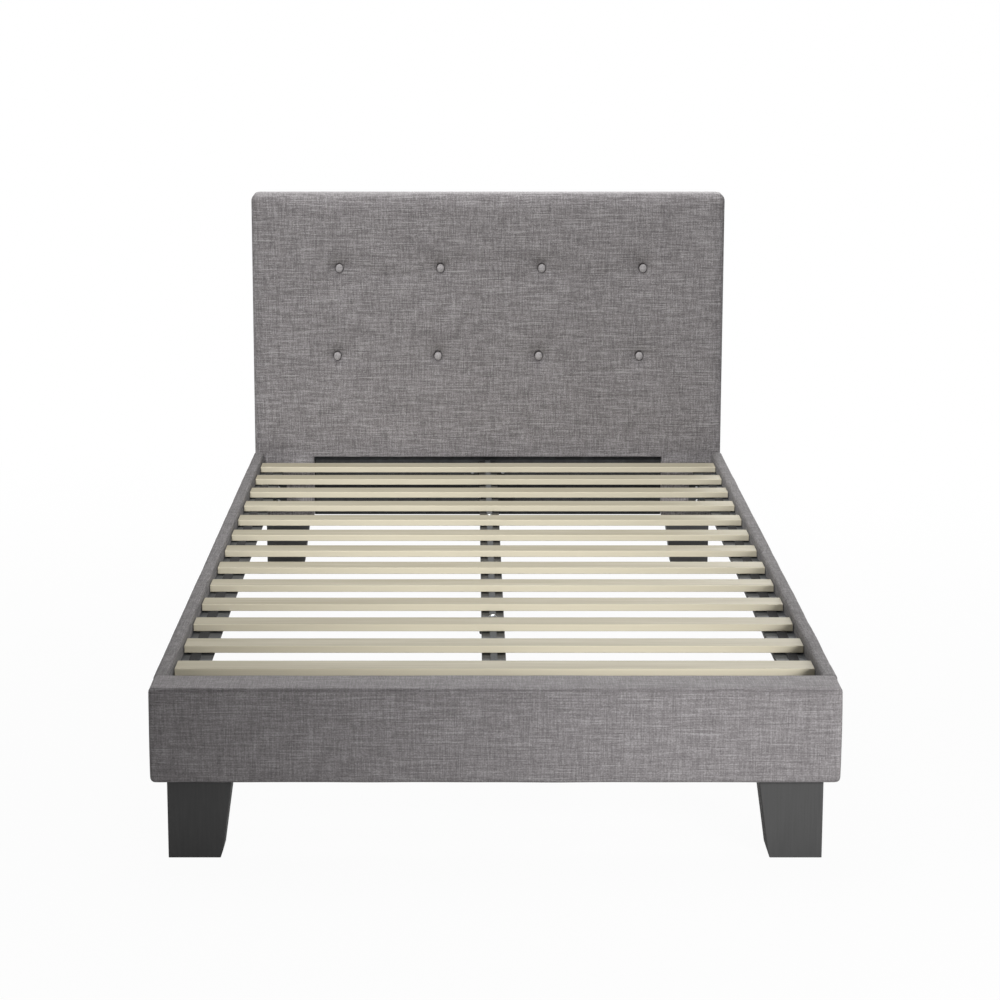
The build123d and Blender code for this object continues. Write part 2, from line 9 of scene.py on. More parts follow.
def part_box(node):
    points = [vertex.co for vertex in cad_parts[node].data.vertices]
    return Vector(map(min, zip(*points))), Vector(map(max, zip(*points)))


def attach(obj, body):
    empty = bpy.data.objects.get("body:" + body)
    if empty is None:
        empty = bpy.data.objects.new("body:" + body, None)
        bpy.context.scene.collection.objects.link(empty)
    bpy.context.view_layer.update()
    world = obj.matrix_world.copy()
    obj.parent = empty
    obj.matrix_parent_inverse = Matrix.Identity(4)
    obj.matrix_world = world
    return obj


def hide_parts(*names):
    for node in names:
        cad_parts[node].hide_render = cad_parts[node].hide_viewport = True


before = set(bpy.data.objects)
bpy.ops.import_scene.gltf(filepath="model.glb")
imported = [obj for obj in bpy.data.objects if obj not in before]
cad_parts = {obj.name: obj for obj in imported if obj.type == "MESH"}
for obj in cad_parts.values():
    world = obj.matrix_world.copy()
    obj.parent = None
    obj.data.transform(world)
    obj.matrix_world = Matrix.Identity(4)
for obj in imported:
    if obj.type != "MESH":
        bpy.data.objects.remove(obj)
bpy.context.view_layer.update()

bl_info = {
    "name": "Upholstered slatted bed",
    "version": (1, 0, 0),
    "blender": (4, 5, 0),
    "location": "View3D > Sidebar > Bed",
    "description": "Dresses the bed's frame in tufted linen, wood, steel and cloth linings",
    "category": "Object",
}

body = "bed_frame"
# An edge nearer than this to a face of its box, in metres, lies on that face
on_face = 0.001


# Sizes and colours that a user would change

class BedSizes(bpy.types.PropertyGroup):
    pad_edge: bpy.props.FloatProperty(
        name="Pad edge", description="Rounding of the headboard pad's front edges",
        default=0.016, subtype="DISTANCE", unit="LENGTH")
    pad_back_edge: bpy.props.FloatProperty(
        name="Pad back edge", description="Rounding of the headboard pad where it meets the wall",
        default=0.004, subtype="DISTANCE", unit="LENGTH")
    pad_mesh: bpy.props.FloatProperty(
        name="Pad mesh", description="Spacing of the points over the headboard pad before it swells",
        default=0.0085, subtype="DISTANCE", unit="LENGTH")
    pad_swell: bpy.props.FloatProperty(
        name="Pad swell", description="The most that the wadding pushes a cover out",
        default=0.004, subtype="DISTANCE", unit="LENGTH")
    tuft_radius: bpy.props.FloatProperty(
        name="Tuft radius", description="Reach of the dimple round a button",
        default=0.034, subtype="DISTANCE", unit="LENGTH")
    tuft_depth: bpy.props.FloatProperty(
        name="Tuft depth", description="Depth to which a button pulls the cover",
        default=0.019, subtype="DISTANCE", unit="LENGTH")
    button_radius: bpy.props.FloatProperty(
        name="Button radius", description="Radius of a covered button",
        default=0.009, subtype="DISTANCE", unit="LENGTH")
    button_squeeze: bpy.props.FloatProperty(
        name="Button squeeze", description="Width of a covered button as a share of its height",
        default=0.86)
    row_drift: bpy.props.FloatProperty(
        name="Row drift", description="How far the upper buttons sit to the right of the lower ones",
        default=0.006, subtype="DISTANCE", unit="LENGTH")
    button_dome: bpy.props.FloatProperty(
        name="Button dome", description="Height of a covered button's dome over its rim",
        default=0.0035, subtype="DISTANCE", unit="LENGTH")
    footboard_edge: bpy.props.FloatProperty(
        name="Footboard edge", description="Rounding of the footboard's corners",
        default=0.011, subtype="DISTANCE", unit="LENGTH")
    rail_edge: bpy.props.FloatProperty(
        name="Rail edge", description="Rounding of the side rails' edges",
        default=0.005, subtype="DISTANCE", unit="LENGTH")
    seam_depth: bpy.props.FloatProperty(
        name="Seam depth", description="Depth of the seam along the footboard's top",
        default=0.0026, subtype="DISTANCE", unit="LENGTH")
    top_wadding: bpy.props.FloatProperty(
        name="Top wadding", description="How far the wadding lifts the footboard's top panel",
        default=0.002, subtype="DISTANCE", unit="LENGTH")
    hem_thick: bpy.props.FloatProperty(
        name="Hem thickness", description="Thickness of the linen folded over the headboard's back",
        default=0.0008, subtype="DISTANCE", unit="LENGTH")
    staple_pitch: bpy.props.FloatProperty(
        name="Staple pitch", description="Spacing of the staples along the lining",
        default=0.045, subtype="DISTANCE", unit="LENGTH")


class BedColours(bpy.types.PropertyGroup):
    linen_dark: bpy.props.StringProperty(
        name="Dark yarn", description="Linen's darkest yarn, sRGB hex", default="625f60")
    linen_mid: bpy.props.StringProperty(
        name="Ground yarn", description="Linen's ground colour, sRGB hex", default="868283")
    linen_light: bpy.props.StringProperty(
        name="Light slub", description="Linen's lightest slubs, sRGB hex", default="aeabac")
    # The buttons' linen: the same yarns one step paler, as painted highlight on the domed buttons
    linen_button_highlight: bpy.props.StringProperty(
        name="Button slub", description="Lightest yarn of the linen over the buttons, sRGB hex",
        default="bdb9ba")
    # The side rails' linen: the same linen painted darker, as painted shade on the rails
    rail_shaded_dark: bpy.props.StringProperty(
        name="Rail dark yarn", description="Darkest yarn of the side rails' linen, sRGB hex",
        default="555252")
    rail_shaded_mid: bpy.props.StringProperty(
        name="Rail ground yarn", description="Ground colour of the side rails' linen, sRGB hex",
        default="747171")
    rail_shaded_light: bpy.props.StringProperty(
        name="Rail light slub", description="Lightest slubs of the side rails' linen, sRGB hex",
        default="979494")
    slat: bpy.props.StringProperty(
        name="Slat wood", description="Planed face of the slats, sRGB hex", default="b4ad98")
    # Colour of the slats' front and back faces: painted light, paler than the planed tops
    slat_lit_face: bpy.props.StringProperty(
        name="Slat edge", description="Sawn edge of the slats, sRGB hex", default="dfd7c0")
    leg: bpy.props.StringProperty(
        name="Leg stain", description="Stained wood of the legs, sRGB hex", default="4c4c4c")
    steel: bpy.props.StringProperty(
        name="Ledger coat", description="Powder coat of the ledgers, sRGB hex", default="3c3e41")
    rail: bpy.props.StringProperty(
        name="Centre rail coat", description="Powder coat of the centre rail, sRGB hex",
        default="242527")


class BedStage(bpy.types.PropertyGroup):
    camera_place: bpy.props.FloatVectorProperty(
        name="Camera", description="Place of the camera", default=(-0.035, -4.850, 1.3128),
        subtype="TRANSLATION", unit="LENGTH")
    camera_down: bpy.props.FloatProperty(
        name="Camera pitch", description="How far the camera looks down",
        default=math.radians(11.22), subtype="ANGLE", unit="ROTATION")
    camera_lens: bpy.props.FloatProperty(
        name="Lens", description="Focal length on a 36 mm sensor", default=95.7)
    camera_shift: bpy.props.FloatProperty(
        name="Sideways shift", description="Share of the frame by which the lens is shifted",
        default=0.028)
    room_light: bpy.props.FloatProperty(
        name="Room light", description="Strength of the light from all round", default=0.28)
    top_light: bpy.props.FloatProperty(
        name="Top light", description="Power of the softbox over the bed", default=56.0,
        subtype="POWER")
    key_light: bpy.props.FloatProperty(
        name="Key light", description="Power of the lamp in front of the foot end, left of the middle",
        default=525.0, subtype="POWER")
    side_light: bpy.props.FloatProperty(
        name="Side light", description="Power of the lamp to the right of the foot end", default=320.0,
        subtype="POWER")
    back_light: bpy.props.FloatProperty(
        name="Back light", description="Power of the softbox behind the headboard", default=70.0,
        subtype="POWER")


# Modelling tools

def add_box(name, low, high):
    """Adds a box between two corners, with its place in its mesh."""
    low, high = Vector(low), Vector(high)
    bpy.ops.object.select_all(action="DESELECT")
    bpy.ops.mesh.primitive_cube_add(size=1, location=(low + high) / 2, scale=high - low)
    return settle(name)


def settle(name):
    """Names the new object and puts its place, turn and size into its mesh."""
    piece = bpy.context.object
    piece.name = piece.data.name = name
    bpy.ops.object.transform_apply(location=True, rotation=True, scale=True)
    return piece


def make_active(piece):
    """Selects one piece alone."""
    if bpy.context.object and bpy.context.object.mode != "OBJECT":
        bpy.ops.object.mode_set(mode="OBJECT")
    bpy.ops.object.select_all(action="DESELECT")
    piece.select_set(True)
    bpy.context.view_layer.objects.active = piece


def edit_faces(piece, wanted):
    """Opens the piece in edit mode with the faces selected for which wanted is true."""
    make_active(piece)
    bpy.ops.object.mode_set(mode="EDIT")
    bpy.ops.mesh.select_mode(type="FACE")
    bpy.ops.mesh.select_all(action="DESELECT")
    bpy.ops.object.mode_set(mode="OBJECT")
    for face in piece.data.polygons:
        face.select = wanted(face)
    bpy.ops.object.mode_set(mode="EDIT")


def finish_with(piece, kind, **settings):
    """Adds a modifier with its settings and applies it."""
    make_active(piece)
    modifier = piece.modifiers.new(kind.lower(), kind)
    for name, value in settings.items():
        setattr(modifier, name, value)
    bpy.ops.object.modifier_apply(modifier=modifier.name)


def cut_across(piece, axis, places):
    """Cuts the piece all round at places along an axis, as rows of points to shape it by."""
    edit_faces(piece, lambda face: True)
    for place in places:
        at, across = Vector(), Vector()
        at[axis], across[axis] = place, 1
        bpy.ops.mesh.select_all(action="SELECT")
        bpy.ops.mesh.bisect(plane_co=at, plane_no=across)
    bpy.ops.object.mode_set(mode="OBJECT")


def round_edges(piece, width, segments, share=lambda middle: 1.0):
    """Rounds the sharp edges. share gives the part of the width that an edge gets by its middle."""
    shape = bmesh.new()
    shape.from_mesh(piece.data)
    weight = shape.edges.layers.float.new("bevel_weight_edge")
    for edge in shape.edges:
        if edge.calc_face_angle(0) > math.radians(30):
            edge[weight] = share((edge.verts[0].co + edge.verts[1].co) / 2)
    shape.to_mesh(piece.data)
    shape.free()
    finish_with(piece, "BEVEL", limit_method="WEIGHT", width=width, segments=segments)


def points(piece):
    """The piece's points as an array of metres."""
    flat = np.empty(len(piece.data.vertices) * 3)
    piece.data.vertices.foreach_get("co", flat)
    return flat.reshape(-1, 3)


def put_points(piece, where):
    """Moves the piece's points."""
    piece.data.vertices.foreach_set("co", where.ravel())
    piece.data.update()


def facing(piece):
    """The points' outward directions as an array."""
    flat = np.empty(len(piece.data.vertices) * 3)
    piece.data.vertex_normals.foreach_get("vector", flat)
    return flat.reshape(-1, 3)


def waver(where, size, seed):
    """Smooth noise from -1 to 1 over points, with swells of the given size in metres."""
    return np.array([noise.noise(Vector(p) / size + Vector((seed, seed, seed))) for p in where])


def swell(piece, held, most):
    """Blows the cover up against the points that hold it, as its wadding does."""
    steps = 20
    rest = points(piece)
    make_active(piece)
    group = piece.vertex_groups.new(name="held")
    group.add([int(i) for i in np.flatnonzero(held)], 1.0, "REPLACE")
    cloth = piece.modifiers.new("cloth", "CLOTH")
    cloth.settings.quality = 4
    cloth.settings.mass = 0.3
    cloth.settings.tension_stiffness = 20
    cloth.settings.compression_stiffness = 20
    cloth.settings.bending_stiffness = 0.5
    cloth.settings.use_pressure = True
    cloth.settings.uniform_pressure_force = 4.0
    cloth.settings.vertex_group_mass = group.name
    cloth.settings.effector_weights.gravity = 0
    cloth.collision_settings.use_collision = False
    cloth.point_cache.frame_end = steps
    for step in range(1, steps + 1):
        bpy.context.scene.frame_set(step)
    bpy.ops.object.modifier_apply(modifier=cloth.name)
    bpy.context.scene.frame_set(1)
    piece.vertex_groups.clear()
    moved = points(piece) - rest
    put_points(piece, rest)
    outward = facing(piece)
    rise = np.maximum((moved * outward).sum(axis=1), 0)
    put_points(piece, rest + outward * (most * np.tanh(rise / most))[:, None])


def lay_weave(piece, start=(0.0, 0.0)):
    """Lays the threads along the piece: the UV map holds metres along and across the weave."""
    mesh = piece.data
    layer = mesh.uv_layers.new(name="weave")
    corner = np.empty(len(mesh.loops), int)
    mesh.loops.foreach_get("vertex_index", corner)
    normals = np.empty(len(mesh.polygons) * 3)
    mesh.polygons.foreach_get("normal", normals)
    sides = np.empty(len(mesh.polygons), int)
    mesh.polygons.foreach_get("loop_total", sides)
    main = np.repeat(np.abs(normals.reshape(-1, 3)).argmax(axis=1), sides)
    place = points(piece)[corner]
    along = np.where(main == 0, place[:, 1], place[:, 0]) + start[0]
    across = np.where(main == 2, place[:, 1], place[:, 2]) + start[1]
    layer.data.foreach_set("uv", np.column_stack((along, across)).ravel())


def smooth(piece):
    """Shades the piece as one soft surface."""
    make_active(piece)
    bpy.ops.object.shade_smooth()


def dress(piece, material, slot, *nodes):
    """Gives a finished piece its material and its place in the frame."""
    piece.data.materials.clear()
    piece.data.materials.append(material)
    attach(piece, body)
    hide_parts(*nodes)


def paint(material, *names):
    """Gives CAD nodes a material."""
    for name in names:
        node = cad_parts[name]
        node.data.materials.clear()
        node.data.materials.append(material)


def join(pieces, name):
    """Joins pieces into one."""
    bpy.ops.object.select_all(action="DESELECT")
    for piece in pieces:
        piece.select_set(True)
    bpy.context.view_layer.objects.active = pieces[0]
    bpy.ops.object.join()
    pieces[0].name = pieces[0].data.name = name
    return pieces[0]


# Materials

def colour(code):
    """Turns an sRGB hex colour into linear light."""
    parts = [int(code[i:i + 2], 16) / 255 for i in (0, 2, 4)]
    return [p / 12.92 if p <= 0.04045 else ((p + 0.055) / 1.055) ** 2.4 for p in parts] + [1.0]


def start_material(name, **values):
    """A new material: its node tree and shader, with the values that are the same all over."""
    material = bpy.data.materials.new(name)
    material.use_nodes = True
    shader = material.node_tree.nodes["Principled BSDF"]
    for key, value in values.items():
        shader.inputs[key.replace("_", " ").title().replace("Ior", "IOR")].default_value = value
    return material, material.node_tree, shader


def add(tree, kind, inputs, **settings):
    """Adds a node: its settings, and its inputs as values or as links from other nodes."""
    node = tree.nodes.new(kind)
    for name, value in settings.items():
        setattr(node, name, value)
    for key, value in inputs.items():
        if isinstance(value, bpy.types.NodeSocket):
            tree.links.new(value, node.inputs[key])
        else:
            node.inputs[key].default_value = value
    return node


def object_place(tree):
    """The place on the object in metres."""
    return add(tree, "ShaderNodeTexCoord", {}).outputs["Object"]


def specks(tree, vector, size, detail):
    """Even noise with specks of a size in metres."""
    inputs = {"Vector": vector, "Scale": 1 / size, "Detail": detail}
    return add(tree, "ShaderNodeTexNoise", inputs).outputs[0]


def streaks(tree, vector, length, width, detail=2.0):
    """Noise drawn out along the first axis: streaks of a length and width in metres. They are read half
    a cell up, where the noise does not fade at every cell's corner."""
    scale = (1 / length, 1 / width, 1 / width)
    place = add(tree, "ShaderNodeMapping", {"Vector": vector, "Location": (0.0, 0.0, 0.5), "Scale": scale})
    return specks(tree, place.outputs[0], 1.0, detail)


def add_share(tree, level, share, other):
    """Adds a share of one level to another."""
    return add(tree, "ShaderNodeMath", {0: level, 1: share, 2: other}, operation="MULTIPLY_ADD").outputs[0]


def window(tree, level, low, high):
    """Stretches the part of a level between low and high to run from 0 to 1."""
    return add(tree, "ShaderNodeMapRange", {"Value": level, "From Min": low, "From Max": high}).outputs[0]


def ramp(tree, level, *stops):
    """Turns a level from 0 to 1 into colour. Stops are pairs of place and sRGB hex."""
    node = add(tree, "ShaderNodeValToRGB", {"Fac": level})
    elements = node.color_ramp.elements
    while len(elements) < len(stops):
        elements.new(0.5)
    for element, (place, code) in zip(elements, stops):
        element.position = place
        element.color = colour(code)
    return node.outputs[0]


def tint(tree, shader, level, *stops):
    """Colours the shader by a level."""
    tree.links.new(ramp(tree, level, *stops), shader.inputs["Base Color"])


def dull(tree, shader, level, low, high):
    """Lets the roughness run from low to high with a level."""
    rough = add(tree, "ShaderNodeMapRange", {"Value": level, "To Min": low, "To Max": high}).outputs[0]
    tree.links.new(rough, shader.inputs["Roughness"])


def relief(tree, shader, height, strength, depth):
    """Raises the surface by a level, over a depth in metres."""
    bump = add(tree, "ShaderNodeBump", {"Height": height, "Strength": strength, "Distance": depth})
    tree.links.new(bump.outputs[0], shader.inputs["Normal"])


def linen(name, dark, ground, light, spread=1.15):
    """Melange linen, plain woven from slubby yarns: thick and thin threads cross as short pale and dark
    streaks both ways, the ground is matt and a faint nap catches light at the edges.
    Real threads are 0.8 mm apart, too fine for the picture, so the streaks are drawn 1.3 mm wide. A
    smaller spread draws light and dark yarns further apart."""
    material, tree, shader = start_material(name, roughness=0.92, specular_ior_level=0.25,
                                            sheen_weight=0.08, sheen_roughness=0.5)
    quarter = (0, 0, math.radians(90))
    weave = add(tree, "ShaderNodeUVMap", {}, uv_map="weave").outputs[0]
    turned = add(tree, "ShaderNodeMapping", {"Vector": weave, "Rotation": quarter}).outputs[0]
    weft = streaks(tree, weave, 0.034, 0.0013)
    warp = streaks(tree, turned, 0.026, 0.0013)
    knots = streaks(tree, weave, 0.0022, 0.0018, 1.0)
    slubs = window(tree, streaks(tree, weave, 0.060, 0.0015, 0.0), 0.64, 0.76)
    flock = specks(tree, weave, 0.05, 2.0)
    crossed = add_share(tree, weft, 1.15, warp)
    knotted = add_share(tree, knots, 1.0, crossed)
    raised = add_share(tree, slubs, 0.25, knotted)
    clouded = add_share(tree, flock, 0.12, raised)
    middle = 1.64
    level = window(tree, clouded, middle - spread / 2, middle + spread / 2)
    tint(tree, shader, level, (0.12, dark), (0.5, ground), (0.88, light))
    relief(tree, shader, raised, 0.30, 0.0006)
    return material


def cover_linen(context, name, spread):
    """The linen of the headboard and footboard: the same yarns, each with its own spread."""
    colours = context.scene.bed_colours
    return linen(name, colours.linen_dark, colours.linen_mid, colours.linen_light, spread)


def slat_wood(colours):
    """Poplar, planed and left bare: pale yellow-grey, fine straight grain along the slat. The front and
    back faces and their rounded arrises are painted paler than the tops: painted light."""
    material, tree, shader = start_material("planed_poplar", roughness=0.62, specular_ior_level=0.25)
    place = add(tree, "ShaderNodeTexCoord", {})
    grain = streaks(tree, place.outputs["Object"], 0.16, 0.0035, 4.0)
    board = streaks(tree, place.outputs["Object"], 0.70, 0.045, 1.0)
    level = window(tree, add_share(tree, board, 0.8, grain), 0.55, 1.25)
    face = ramp(tree, level, (0.0, "a59c85"), (0.5, colours.slat), (1.0, "c5beab"))
    # Painted light: faces turned along the bed's length, front and back, and their arrises are mixed toward
    # the paler colour
    across = add(tree, "ShaderNodeSeparateXYZ", {0: place.outputs["Normal"]}).outputs["Y"]
    side = add(tree, "ShaderNodeMath", {0: across}, operation="ABSOLUTE").outputs[0]
    painted_light_faces = window(tree, side, 0.35, 0.75)
    mix = add(tree, "ShaderNodeMix", {"Factor": painted_light_faces, "A": face, "B": colour(colours.slat_lit_face)},
              data_type="RGBA")
    tree.links.new(mix.outputs["Result"], shader.inputs["Base Color"])
    relief(tree, shader, grain, 0.12, 0.0005)
    return material


def leg_wood(colours):
    """Rubberwood, stained black and sealed: nearly flat in colour, a low satin gloss, faint upright
    grain."""
    material, tree, shader = start_material("black_stained_rubberwood", roughness=0.48)
    quarter = (0, math.radians(90), 0)
    upright = add(tree, "ShaderNodeMapping", {"Vector": object_place(tree), "Rotation": quarter}).outputs[0]
    grain = streaks(tree, upright, 0.06, 0.0025, 3.0)
    tint(tree, shader, grain, (0.2, "454545"), (0.8, colours.leg))
    relief(tree, shader, grain, 0.04, 0.0003)
    return material


def powder_coat(name, code, rub):
    """Powder coat baked on steel: an even dull colour, fine orange peel, rubbed a little paler."""
    material, tree, shader = start_material(name, specular_ior_level=0.4)
    place = object_place(tree)
    peel = specks(tree, place, 0.0025, 1.0)
    wear = specks(tree, place, 0.05, 4.0)
    tint(tree, shader, wear, (0.35, code), (0.75, rub))
    dull(tree, shader, wear, 0.42, 0.60)
    relief(tree, shader, peel, 0.15, 0.0003)
    return material


def felt_tape(name, code, pale):
    """Felt tape: short matted fibres, quite matt, speckled a little paler."""
    material, tree, shader = start_material(name, roughness=0.95, specular_ior_level=0.15, sheen_weight=0.1)
    fibre = specks(tree, object_place(tree), 0.002, 3.0)
    tint(tree, shader, fibre, (0.35, code), (0.75, pale))
    relief(tree, shader, fibre, 0.3, 0.0005)
    return material


def zinc():
    """Zinc plate on steel: a bright cold metal with a soft, slightly cloudy shine. It is made once."""
    if "zinc_plate" in bpy.data.materials:
        return bpy.data.materials["zinc_plate"]
    material, tree, shader = start_material("zinc_plate", metallic=1.0)
    cloud = specks(tree, object_place(tree), 0.004, 2.0)
    tint(tree, shader, cloud, (0.3, "b4b8bc"), (0.7, "d6d8da"))
    dull(tree, shader, cloud, 0.22, 0.38)
    return material


def spunbond(name, code, pale):
    """Spunbond polypropylene lining: thin matt cloth pressed with rows of fine dots, 3 mm apart here so
    that they show."""
    material, tree, shader = start_material(name, roughness=0.85, specular_ior_level=0.25)
    place = object_place(tree)
    pitch = 0.003
    rows = {"Vector": place, "Scale": 1 / pitch, "Randomness": 0.25}
    dots = add(tree, "ShaderNodeTexVoronoi", rows).outputs[0]
    fibre = specks(tree, place, 0.012, 4.0)
    tint(tree, shader, fibre, (0.35, code), (0.7, pale))
    relief(tree, shader, dots, 0.25, 0.0004)
    return material


def frame_wood(name, dark, pale, width):
    """Softwood and plywood of the hidden frame: raw, warm and streaked along the grain."""
    material, tree, shader = start_material(name, roughness=0.75, specular_ior_level=0.3)
    grain = streaks(tree, object_place(tree), 0.25, width, 4.0)
    tint(tree, shader, grain, (0.3, dark), (0.7, pale))
    relief(tree, shader, grain, 0.2, 0.0006)
    return material


def moulded_plastic():
    """Black polyethylene, moulded: dull black with a fine spark-eroded grain."""
    material, tree, shader = start_material("moulded_polyethylene", roughness=0.5)
    grain = specks(tree, object_place(tree), 0.0012, 2.0)
    tint(tree, shader, grain, (0.3, "1c1c1d"), (0.7, "2a2a2b"))
    relief(tree, shader, grain, 0.2, 0.0003)
    return material


# Pieces

def tuft_places():
    """The middles of the covered buttons' faces, from the CAD buttons' own box."""
    sizes = bpy.context.scene.bed_sizes
    low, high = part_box("tuft_buttons")
    radius = sizes.button_radius
    row = range(4)
    pitch = (high.x - low.x - 2 * radius - sizes.row_drift) / (len(row) - 1)
    lower = [Vector((low.x + radius + pitch * k, low.y, low.z + radius)) for k in row]
    upper = [Vector((high.x - radius - pitch * k, low.y, high.z - radius)) for k in row]
    return upper + lower


class BED_OT_headboard(bpy.types.Operator):
    """Pads the headboard and its two posts with one tufted cover"""
    bl_idname = "bed.headboard"
    bl_label = "Headboard"

    def execute(self, context):
        sizes = context.scene.bed_sizes
        low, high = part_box("headboard_cover")
        soft_depth = 0.024
        loose = low.y + soft_depth
        piece = self.cut_out(sizes, low, high)
        self.pull_in(piece, sizes, low, loose)
        finish_with(piece, "SUBSURF", levels=1, render_levels=1)
        self.crease(piece, sizes, loose)
        self.fold_back(piece, sizes, high.y)
        smooth(piece)
        lay_weave(piece)
        dress(piece, cover_linen(context, "headboard_linen", 1.1), "linen", "headboard_cover",
              "headboard_foam", "headboard_post_cover_left", "headboard_post_cover_right")
        return {"FINISHED"}

    def cut_out(self, sizes, low, high):
        """Shapes the pad with its posts, rounds it and cuts it into a grid of points."""
        post_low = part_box("headboard_post_cover_right")[0]
        piece = add_box("headboard_upholstery", low, high)
        cut_across(piece, 0, (-post_low.x, post_low.x))
        edit_faces(piece, lambda face: face.normal.z < -0.5 and abs(face.center.x) > post_low.x)
        bpy.ops.mesh.extrude_region_move(
            TRANSFORM_OT_translate={"value": (0, 0, post_low.z - low.z)})
        bpy.ops.object.mode_set(mode="OBJECT")
        middle = (low.y + high.y) / 2
        tight = sizes.pad_back_edge / sizes.pad_edge

        def share(at):
            """The back, the posts' feet and the edge over the bay are tighter than the rest."""
            back = at.y > middle + on_face
            foot = at.z < post_low.z + on_face
            bay = at.z < low.z + on_face and abs(at.x) < post_low.x + on_face
            return tight if back or foot or bay else 1.0

        round_edges(piece, sizes.pad_edge, 8, share)
        edge, step = sizes.pad_edge, sizes.pad_mesh
        cut_across(piece, 0, np.arange(low.x + edge, high.x - edge, step))
        cut_across(piece, 1, np.arange(low.y + edge, high.y - step, step))
        cut_across(piece, 2, np.arange(post_low.z + step, high.z - edge, step))
        return piece

    def pull_in(self, piece, sizes, low, loose):
        """Draws the face in at each button and lets the wadding swell between them."""
        where = points(piece)
        held = where[:, 1] > loose
        bottom_hold, sharpness = 0.010, 1.6
        held |= where[:, 2] < low.z + bottom_hold
        for tuft in tuft_places():
            away = np.hypot(where[:, 0] - tuft.x, where[:, 2] - tuft.z)
            dip = np.clip(1 - away / sizes.tuft_radius, 0, 1) ** sharpness
            where[:, 1] += np.where(held, 0, sizes.tuft_depth * dip)
            held |= away < sizes.button_radius
        put_points(piece, where)
        swell(piece, held, sizes.pad_swell)

    def crease(self, piece, sizes, loose):
        """Gathers the cover into small folds that run from each button, and lets the face waver."""
        tufts = tuft_places()
        fine = 0.022
        edit_faces(piece, lambda face: face.center.y < loose and any(
            math.hypot(face.center.x - tuft.x, face.center.z - tuft.z) < fine for tuft in tufts))
        bpy.ops.mesh.subdivide(number_cuts=3)
        bpy.ops.object.mode_set(mode="OBJECT")
        where = points(piece)
        face = where[:, 1] < loose
        height, well_depth, fold_start, fold_end = 0.0006, 0.008, 0.008, 0.060
        well_rim, well_wall = 1.28 * sizes.button_radius, 0.26 * sizes.button_radius
        drift = height * waver(where, 0.12, 3.0)
        where[face, 1] += drift[face]
        for k, tuft in enumerate(tufts):
            across, up = where[:, 0] - tuft.x, where[:, 2] - tuft.z
            away, turn = np.hypot(across, up), np.arctan2(up, across)
            near = np.clip((away - fold_start) / 0.010, 0, 1) * np.clip((fold_end - away) / 0.040, 0, 1)
            fold = np.cos(5 * turn + 1.7 * k) + 0.6 * np.cos(3 * turn + 0.9 * k)
            rim = np.hypot(across / sizes.button_squeeze, up)
            well = np.clip((well_rim - rim) / well_wall, 0, 1)
            where[face, 1] += (height * near * fold + well_depth * well * well * (3 - 2 * well))[face]
        put_points(piece, where)

    def fold_back(self, piece, sizes, back):
        """Folds the cover flat over the back of the timber, where the lining will hide its edge."""
        where = points(piece)
        where[where[:, 1] > back - 0.002, 1] = back + sizes.hem_thick
        put_points(piece, where)


class BED_OT_buttons(bpy.types.Operator):
    """Sets the covered buttons in their tufts"""
    bl_idname = "bed.buttons"
    bl_label = "Buttons"

    def execute(self, context):
        sizes, colours = context.scene.bed_sizes, context.scene.bed_colours
        radius, dome, flatness = sizes.button_radius, sizes.button_dome, 2.4
        bpy.ops.object.select_all(action="DESELECT")
        bpy.ops.mesh.primitive_uv_sphere_add(segments=40, ring_count=28, radius=1,
                                             rotation=(math.radians(90), 0, 0))
        first = settle("tuft_button")
        where = points(first)
        away = np.hypot(where[:, 0], where[:, 2])
        front = where[:, 1] < 0
        where[:, 1] = np.where(front, dome * away ** flatness, 2 * dome - dome * away ** 2)
        put_points(first, where * (radius * sizes.button_squeeze, 1, radius))
        pieces = []
        for k, place in enumerate(tuft_places()):
            copy = first.copy()
            copy.data = first.data.copy()
            bpy.context.collection.objects.link(copy)
            put_points(copy, points(first) + np.array(place))
            lay_weave(copy, (0.37 * k, 0.0))
            pieces.append(copy)
        bpy.data.objects.remove(first)
        piece = join(pieces, "covered_buttons")
        smooth(piece)
        # Painted highlight: the buttons wear the linen one step paler, its ground as dark and its slub as
        # ground
        pale = linen("button_linen_painted_highlight", colours.linen_mid, colours.linen_light, colours.linen_button_highlight)
        dress(piece, pale, "linen", "tuft_buttons")
        return {"FINISHED"}


